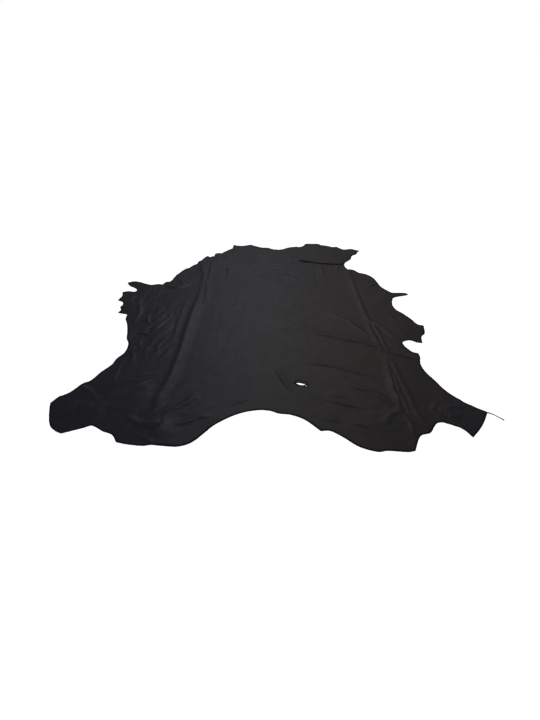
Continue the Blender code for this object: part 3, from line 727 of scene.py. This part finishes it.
def buildCreaseTree():
    # Presses the crests of one set of crease paths up into the sheet
    tree, given, identifiers = newTree("press creases", {
        "Crease paths": "Object", "Path step": "Float", "Crispness": "Float", "Waver": "Float",
        "Waver length": "Float", "Wander": "Float", "Wander length": "Float", "Seed": "Float",
    })
    wires = addNode(tree, "GeometryNodeObjectInfo", {}, {"Object": given["Crease paths"]})
    curves = addNode(tree, "GeometryNodeMeshToCurve", {}, {"Mesh": wires.outputs["Geometry"]})
    smooth = addNode(
        tree, "GeometryNodeCurveSplineType", {"spline_type": "CATMULL_ROM"}, {"Curve": curves})
    crest = addNode(
        tree, "GeometryNodeCurveToPoints", {"mode": "LENGTH"},
        {"Curve": smooth, "Length": given["Path step"]},
    ).outputs

    # A real crest wanders a little, so the place that looks for it is shaken by a noise
    floorPlace = addNode(
        tree, "GeometryNodeInputNamedAttribute", {"data_type": "FLOAT_VECTOR"},
        {"Name": "floorPlace"},
    )
    perWander, perWaver = (
        addNode(tree, "ShaderNodeMath", {"operation": "DIVIDE"}, {0: 1.0, 1: given[length]})
        for length in ("Wander length", "Waver length")
    )
    here = addNode(
        tree, "ShaderNodeTexNoise", {"noise_dimensions": "4D"},
        {"Vector": floorPlace, "W": given["Seed"], "Scale": perWander, "Detail": 2.0},
    ).outputs["Color"]
    for operation, sockets in (
        ("SUBTRACT", {1: (0.5, 0.5, 0.5)}), ("SCALE", {"Scale": given["Wander"]}),
        ("MULTIPLY", {1: (1.0, 1.0, 0.0)}), ("ADD", {1: floorPlace}),
    ):
        here = addNode(tree, "ShaderNodeVectorMath", {"operation": operation}, {0: here, **sockets})

    nearest = addNode(
        tree, "GeometryNodeSampleNearest", {"domain": "POINT"},
        {"Geometry": crest["Points"], "Sample Position": here},
    )
    wanted = {
        "place": ("FLOAT_VECTOR", addNode(tree, "GeometryNodeInputPosition")),
        "way": ("FLOAT_VECTOR", crest["Tangent"]),
    }
    for name in ("rise", "leftFoot", "rightFoot"):
        wanted[name] = ("FLOAT", addNode(
            tree, "GeometryNodeInputNamedAttribute", {"data_type": "FLOAT"}, {"Name": name}))
    atCrest = {}
    for name, (kind, value) in wanted.items():
        atCrest[name] = addNode(
            tree, "GeometryNodeSampleIndex", {"data_type": kind, "domain": "POINT"},
            {"Geometry": crest["Points"], "Value": value, "Index": nearest},
        )

    # Distance from the crest: beside it, and past its last point
    away = addNode(
        tree, "ShaderNodeVectorMath", {"operation": "SUBTRACT"}, {0: here, 1: atCrest["place"]})
    across, along = (
        addNode(tree, "ShaderNodeVectorMath", {"operation": operation}, {0: atCrest["way"], 1: away})
        for operation in ("CROSS_PRODUCT", "DOT_PRODUCT")
    )
    beside = addNode(tree, "ShaderNodeSeparateXYZ", {}, {0: across}).outputs["Z"]
    ahead = along.outputs["Value"]
    for operation, other in (("ABSOLUTE", 0.0), ("SUBTRACT", given["Path step"]), ("MAXIMUM", 0.0)):
        ahead = addNode(tree, "ShaderNodeMath", {"operation": operation}, {0: ahead, 1: other})
    offset = addNode(tree, "ShaderNodeCombineXYZ", {}, {"X": beside, "Y": ahead})
    distance = addNode(tree, "ShaderNodeVectorMath", {"operation": "LENGTH"}, {0: offset})
    onLeft = addNode(tree, "ShaderNodeMath", {"operation": "GREATER_THAN"}, {0: beside, 1: 0.0})
    foot = addNode(
        tree, "ShaderNodeMix", {"data_type": "FLOAT"},
        {0: onLeft, 2: atCrest["rightFoot"], 3: atCrest["leftFoot"]},
    )

    # Section from foot to foot: a rounded crest mixed with a crisp one
    rounded, crisp = (
        addNode(tree, "ShaderNodeMapRange", {"interpolation_type": kind}, {
            "Value": distance.outputs["Value"], "From Min": 0.0, "From Max": foot,
            "To Min": 1.0, "To Max": 0.0,
        })
        for kind in ("SMOOTHSTEP", "LINEAR")
    )
    crisp = addNode(
        tree, "ShaderNodeMath", {"operation": "POWER"}, {0: crisp, 1: creaseForm["power"]})
    height = addNode(
        tree, "ShaderNodeMix", {"data_type": "FLOAT"}, {0: given["Crispness"], 2: rounded, 3: crisp})

    # Its height wavers along it
    waver = addNode(
        tree, "ShaderNodeTexNoise", {"noise_dimensions": "4D"},
        {"Vector": floorPlace, "W": given["Seed"], "Scale": perWaver, "Detail": 1.0},
    )
    waver = addNode(tree, "ShaderNodeMath", {"operation": "SUBTRACT"}, {0: waver, 1: 0.5})
    waver = addNode(
        tree, "ShaderNodeMath", {"operation": "MULTIPLY_ADD"}, {0: waver, 1: given["Waver"], 2: 1.0})
    for factor in (atCrest["rise"], waver):
        height = addNode(tree, "ShaderNodeMath", {"operation": "MULTIPLY"}, {0: height, 1: factor})
    raiseSheet(tree, given, height, creaseForm["worked"])
    return tree, identifiers


def buildDrawnTree():
    # Draws a loose part of the sheet into soft wrinkles with narrow valleys between them
    tree, given, identifiers = newTree("draw wrinkles", {
        "Middle": "Vector", "Reach": "Vector", "Way": "Vector", "Size": "Vector",
        "Rise": "Float", "Seed": "Float",
    })
    floorPlace = addNode(
        tree, "GeometryNodeInputNamedAttribute", {"data_type": "FLOAT_VECTOR"},
        {"Name": "floorPlace"},
    )
    local = addNode(
        tree, "ShaderNodeVectorMath", {"operation": "SUBTRACT"}, {0: floorPlace, 1: given["Middle"]})
    turned = addNode(
        tree, "ShaderNodeVectorRotate", {"rotation_type": "EULER_XYZ"},
        {"Vector": local, "Rotation": given["Way"]},
    )
    share, scaled = (
        addNode(tree, "ShaderNodeVectorMath", {"operation": "DIVIDE"}, {0: place, 1: given[size]})
        for place, size in ((local, "Reach"), (turned, "Size"))
    )
    share = addNode(tree, "ShaderNodeVectorMath", {"operation": "LENGTH"}, {0: share})
    window = addNode(tree, "ShaderNodeMapRange", {"interpolation_type": "SMOOTHSTEP"}, {
        "Value": share.outputs["Value"], "From Min": wrinkleForm["fadeFrom"], "From Max": 1.0,
        "To Min": 1.0, "To Max": 0.0,
    })
    folds = addNode(tree, "ShaderNodeTexNoise", {"noise_dimensions": "4D"}, {
        "Vector": scaled, "W": given["Seed"], "Scale": 1.0, "Detail": 1.0,
        "Roughness": 0.4, "Distortion": 0.5,
    })
    for operation, other in (("SUBTRACT", 0.5), ("ABSOLUTE", 0.0)):
        folds = addNode(tree, "ShaderNodeMath", {"operation": operation}, {0: folds, 1: other})
    height = addNode(tree, "ShaderNodeMapRange", {}, {
        "Value": folds, "From Min": 0.0, "From Max": wrinkleForm["valleyWidth"],
        "To Min": 0.0, "To Max": 1.0,
    })
    for operation, other in (
        ("POWER", wrinkleForm["roundness"]), ("MULTIPLY", window), ("MULTIPLY", given["Rise"]),
    ):
        height = addNode(tree, "ShaderNodeMath", {"operation": operation}, {0: height, 1: other})
    raiseSheet(tree, given, height, wrinkleForm["worked"])
    return tree, identifiers


# Leather

def newMaterial(name):
    material = bpy.data.materials.new(name)
    material.use_nodes = True
    return material, material.node_tree, material.node_tree.nodes["Principled BSDF"]


grainLook = {
    "deep": "#232325",
    "worn": "#2d2c2c",
    "rubbedCrest": "#3a3938",
    "rubShare": 0.6,  # how much of that shows on the most worked crest
    "paintedEdgeShade": "#0b0b0c",  # painted shade: a near-black band along the trimmed edge, dull there
    "paintedShadeWidth": 0.014,
    "paintedShadeShare": 0.85,
    "roughLow": 0.47,
    "roughHigh": 0.52,
    "roughEdge": 0.95,
    "poreSize": 0.0018,  # hair pores of a cowhide are 0.15 mm wide, about 1.8 mm apart
    "poreBump": {"Strength": 0.3, "Distance": 0.0001},
    "pebbleSize": 0.006,  # drummed grain breaks into 2 to 3 mm pebbles, drawn coarser to show
    "pebbleBump": {"Strength": 0.5, "Distance": 0.0005},
    "drawSize": 0.035,  # loose leather draws into wrinkles 20 to 50 mm apart
    "drawBump": {"Strength": 0.5, "Distance": 0.0016},
}


def buildGrain():
    # Finished cowhide: a thin black pigment coat over printed grain. It gives an even charcoal
    # with a low waxy sheen, broken by fine pebbles and slightly greyer where crests have rubbed.
    look = grainLook
    material, tree, shader = newMaterial("pigmented black cowhide grain")
    opened = addNode(tree, "ShaderNodeUVMap", {"uv_map": "openedHide"})
    worked, fromEdge = (
        addNode(tree, "ShaderNodeAttribute", {"attribute_name": name}).outputs["Fac"]
        for name in ("worked", "fromEdge")
    )

    # Colour: soft clouds, then the rubbed crests, then painted shade along the trimmed edge
    cloud = addNode(
        tree, "ShaderNodeTexNoise", {},
        {"Vector": opened, "Scale": 3.5, "Detail": 4.0, "Roughness": 0.6},
    )
    cloud = addNode(
        tree, "ShaderNodeMapRange", {}, {"Value": cloud, "From Min": 0.35, "From Max": 0.65})
    rub = addNode(
        tree, "ShaderNodeMapRange", {},
        {"Value": worked, "From Min": 0.3, "From Max": 1.2, "To Max": look["rubShare"]},
    )
    # Painted shade: within a band along the trimmed edge the colour goes near black and the surface
    # rough
    paintedShadeMask = addNode(tree, "ShaderNodeMapRange", {}, {
        "Value": fromEdge, "From Min": look["paintedShadeWidth"], "From Max": look["paintedShadeWidth"] / 2,
        "To Max": look["paintedShadeShare"],
    })
    colour = linear(look["deep"])
    for share, shade in ((cloud, "worn"), (rub, "rubbedCrest"), (paintedShadeMask, "paintedEdgeShade")):
        colour = addNode(
            tree, "ShaderNodeMix", {"data_type": "RGBA"},
            {0: share, 6: colour, 7: linear(look[shade])},
        ).outputs[2]

    haze = addNode(
        tree, "ShaderNodeTexNoise", {}, {"Vector": opened, "Scale": 11.0, "Detail": 3.0})
    rough = addNode(tree, "ShaderNodeMapRange", {}, {
        "Value": haze, "From Min": 0.3, "From Max": 0.7,
        "To Min": look["roughLow"], "To Max": look["roughHigh"],
    })
    rough = addNode(
        tree, "ShaderNodeMix", {"data_type": "FLOAT"}, {0: paintedShadeMask, 2: rough, 3: look["roughEdge"]})

    drawn = addNode(
        tree, "ShaderNodeTexNoise", {},
        {"Vector": opened, "Scale": 1.0 / look["drawSize"], "Detail": 2.0, "Distortion": 0.8},
    )
    pebbles = addNode(
        tree, "ShaderNodeTexVoronoi", {"feature": "SMOOTH_F1"},
        {"Vector": opened, "Scale": 1.0 / look["pebbleSize"], "Randomness": 0.9},
    )
    pores = addNode(
        tree, "ShaderNodeTexVoronoi", {"feature": "F1"},
        {"Vector": opened, "Scale": 1.0 / look["poreSize"]},
    )
    bump = addNode(tree, "ShaderNodeBump", {}, {"Height": drawn, **look["drawBump"]})
    bump = addNode(
        tree, "ShaderNodeBump", {"invert": True},
        {"Height": pebbles.outputs["Distance"], **look["pebbleBump"], "Normal": bump},
    )
    bump = addNode(
        tree, "ShaderNodeBump", {},
        {"Height": pores.outputs["Distance"], **look["poreBump"], "Normal": bump},
    )
    setSockets(tree, shader, {
        "Base Color": colour, "Roughness": rough, "Normal": bump,
        "IOR": 1.5, "Specular IOR Level": 0.5,
    })
    return material


# Flesh side, dyed through and shaved: short suede nap, matt and slightly dusty at a slant
fleshLook = {
    "name": "shaved flesh side suede",
    "place": ("ShaderNodeUVMap", {"uv_map": "openedHide"}, "UV"),
    "shades": ("#2b2a2c", "#3a3634"),
    "fibreSize": 0.004,
    "noise": {"Detail": 5.0, "Roughness": 0.7},
    "bump": {"Strength": 0.7, "Distance": 0.0006},
    "surface": {"Roughness": 0.92, "Sheen Weight": 0.25},
}

# Trimmed or torn edge: the dyed fibres show, a little browner in the middle of the hide
edgeLook = {
    "name": "dyed fibres of the cut edge",
    "place": ("ShaderNodeTexCoord", {}, "Object"),
    "shades": ("#141314", "#2c2725"),
    "fibreSize": 0.0012,
    "noise": {"Detail": 3.0},
    "bump": {"Strength": 0.6, "Distance": 0.0004},
    "surface": {"Roughness": 0.85},
}


def buildFibres(look):
    # Bare fibres: a fine noise between two shades, raised a little
    material, tree, shader = newMaterial(look["name"])
    kind, settings, output = look["place"]
    place = addNode(tree, kind, settings).outputs[output]
    fibres = addNode(
        tree, "ShaderNodeTexNoise", {},
        {"Vector": place, "Scale": 1.0 / look["fibreSize"], **look["noise"]},
    )
    dark, light = look["shades"]
    colour = addNode(
        tree, "ShaderNodeMix", {"data_type": "RGBA"}, {0: fibres, 6: linear(dark), 7: linear(light)}
    ).outputs[2]
    bump = addNode(tree, "ShaderNodeBump", {}, {"Height": fibres, **look["bump"]})
    setSockets(tree, shader, {"Base Color": colour, "Normal": bump, **look["surface"]})
    return material


grain, flesh, cutEdge = buildGrain(), buildFibres(fleshLook), buildFibres(edgeLook)
print("stage: leather materials made")

# Relief of the sheet

creasePasses = {
    "long": {
        "Crispness": 0.62, "Waver": 0.6, "Waver length": 0.12,
        "Wander": 0.011, "Wander length": 0.09, "Seed": 3.0},
    "across": {
        "Crispness": 0.6, "Waver": 0.9, "Waver length": 0.08,
        "Wander": 0.012, "Wander length": 0.07, "Seed": 7.0},
    "fine": {
        "Crispness": 0.5, "Waver": 1.1, "Waver length": 0.05,
        "Wander": 0.016, "Wander length": 0.05, "Seed": 11.0},
}
pathStep = 0.004  # between the points of a crest
seedStep = 3.7  # from one drawn part to the next


def creaseWires(label, creases):
    # The paths of one pass as wires, with each point's rise and feet
    points, edges, values = [], [], {"rise": [], "leftFoot": [], "rightFoot": []}
    for leftFoot, rightFoot, path in creases.values():
        first = len(points)
        for x, y, rise in path:
            points.append((*inMetres((x, y)), 0.0))
            for name, number in zip(values, inMetres((rise, leftFoot, rightFoot))):
                values[name].append(number)
        edges += [(i, i + 1) for i in range(first, len(points) - 1)]
    mesh = bpy.data.meshes.new("crease paths " + label)
    mesh.from_pydata(points, edges, [])
    for name, numbers in values.items():
        mesh.attributes.new(name, "FLOAT", "POINT").data.foreach_set("value", numbers)
    return addObject("crease paths " + label, mesh)


drawnTree, drawnInputs = buildDrawnTree()
for number, (label, (middle, reach, way, size, rise)) in enumerate(hideDrawn.items()):
    useTree(hide, "drawn " + label, drawnTree, drawnInputs, {
        "Middle": (*inMetres(middle), 0.0), "Reach": (*inMetres(reach), 1.0),
        "Way": (0.0, 0.0, math.radians(way)), "Size": (*inMetres(size), 1.0),
        "Rise": rise / 1000, "Seed": number * seedStep, "Leather": grain,
    })
creaseTree, creaseInputs = buildCreaseTree()
wires = {label: creaseWires(label, creases) for label, creases in hideCreases.items()}
for label, values in creasePasses.items():
    given = {"Crease paths": wires[label], "Path step": pathStep, "Leather": grain, **values}
    useTree(hide, "creases " + label, creaseTree, creaseInputs, given)
bakeModifiers(hide)
for wire in wires.values():
    bpy.data.objects.remove(wire)
print("stage: creases pressed, lowest", round(min(v.co.z for v in hide.data.vertices), 5))

for material in (flesh, cutEdge):
    hide.data.materials.append(material)
leather = hide.modifiers.new("leather thickness", "SOLIDIFY")
leather.thickness = hideSheet["thickness"]
leather.offset = 1.0
leather.use_even_offset = True
leather.material_offset = 1
leather.material_offset_rim = 2
bakeModifiers(hide)
hide.data.shade_smooth()
hide.data.set_sharp_from_angle(angle=hideSheet["sharpTurn"])

# The tables start from the middle of the view, the frame from the middle of the hide
toFrame = Vector((-0.0130, -0.0070, 0.0))
for vertex in hide.data.vertices:
    vertex.co += toFrame
print("stage: hide finished,", len(hide.data.polygons), "faces")

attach(hide, "root")
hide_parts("hide")

# Floor, light and camera

studio = {
    "floor": "#f6f6f5",
    "floorGlow": 0.93,
    "floorHalf": 40.0,
    "floorBelow": 0.0004,  # just under the flesh side, so that the two faces don't flicker
    "world": "#dbe2ff",
    "worldStrength": 0.142,
    "panelSize": 1.6,
    "panelAim": (0.0, 0.0, 0.0),
    "panels": {  # place, watts, colour
        "soft panel beyond the neck": ((-0.5, 4.3, 3.4), 12.5, "#f6fbff"),
        "low soft panel beyond the neck": ((0.0, 4.6, 1.9), 1.3, "#f6fbff"),
        "soft panel above the neck": ((-0.2, 2.6, 4.6), 9.6, "#fff8f0"),
        "warm soft panel beyond the right": ((1.5, 4.3, 3.4), 7.9, "#ffd6ac"),
        "warm soft panel above the right": ((2.0, 2.6, 4.6), 4.0, "#ffd2a4"),
        "soft panel behind the camera": ((0.0, -4.2, 3.0), 12.0, "#e4e8ff"),
        "soft panel on the left": ((-4.2, -1.2, 2.6), 4.0, "#e4e8ff"),
        "soft panel on the right": ((4.2, -1.2, 2.6), 8.0, "#ffdcc4"),
    },
}


def buildFloor():
    # Matt white painted studio floor, with a little of its own light so that it stays pale far out
    material, tree, shader = newMaterial("matt white painted floor")
    setSockets(tree, shader, {
        "Base Color": linear(studio["floor"]), "Roughness": 0.9, "Specular IOR Level": 0.1,
        "Emission Color": (1.0, 1.0, 1.0, 1.0), "Emission Strength": studio["floorGlow"],
    })
    mesh = bpy.data.meshes.new("floor")
    half, z = studio["floorHalf"], -studio["floorBelow"]
    corners = [(-half, -half, z), (half, -half, z), (half, half, z), (-half, half, z)]
    mesh.from_pydata(corners, [], [(0, 1, 2, 3)])
    mesh.materials.append(material)
    return addObject("floor", mesh)


def addPanel(name, place, watts, colour):
    light = bpy.data.lights.new(name, "AREA")
    light.size = studio["panelSize"]
    light.energy = watts
    light.color = linear(colour)[:3]
    panel = addObject(name, light)
    panel.location = place
    aim = Vector(studio["panelAim"]) - Vector(place)
    panel.rotation_euler = aim.to_track_quat("-Z", "Y").to_euler()


buildFloor()
for name, panel in studio["panels"].items():
    addPanel(name, *panel)

# The hide gets a dim bluish sky, and the camera sees a white wall
world = bpy.data.worlds.new("pale studio")
world.use_nodes = True
worldTree = world.node_tree
background = worldTree.nodes["Background"]
setSockets(worldTree, background, {
    "Color": linear(studio["world"]), "Strength": studio["worldStrength"]})
seen = addNode(
    worldTree, "ShaderNodeBackground", {}, {"Color": (1.0, 1.0, 1.0, 1.0), "Strength": 1.0})
rays = addNode(worldTree, "ShaderNodeLightPath").outputs["Is Camera Ray"]
both = addNode(worldTree, "ShaderNodeMixShader", {}, {0: rays, 1: background, 2: seen})
setSockets(worldTree, worldTree.nodes["World Output"], {"Surface": both})
bpy.context.scene.world = world
bpy.context.scene.view_settings.view_transform = "Standard"

# The photograph's camera: lens and long side in mm, place in metres, degrees down
photoCamera = {"lens": 22.5, "longSide": 36.0, "place": (0.0, -2.8155, 1.6), "down": 35.5}
cameraData = bpy.data.cameras.new("camera")
cameraData.lens = photoCamera["lens"]
cameraData.sensor_width = photoCamera["longSide"]
camera = addObject("camera", cameraData)
camera.location = Vector(photoCamera["place"]) + toFrame
camera.rotation_euler = (math.radians(90.0 - photoCamera["down"]), 0.0, 0.0)
bpy.context.scene.camera = camera
print("stage: studio set")
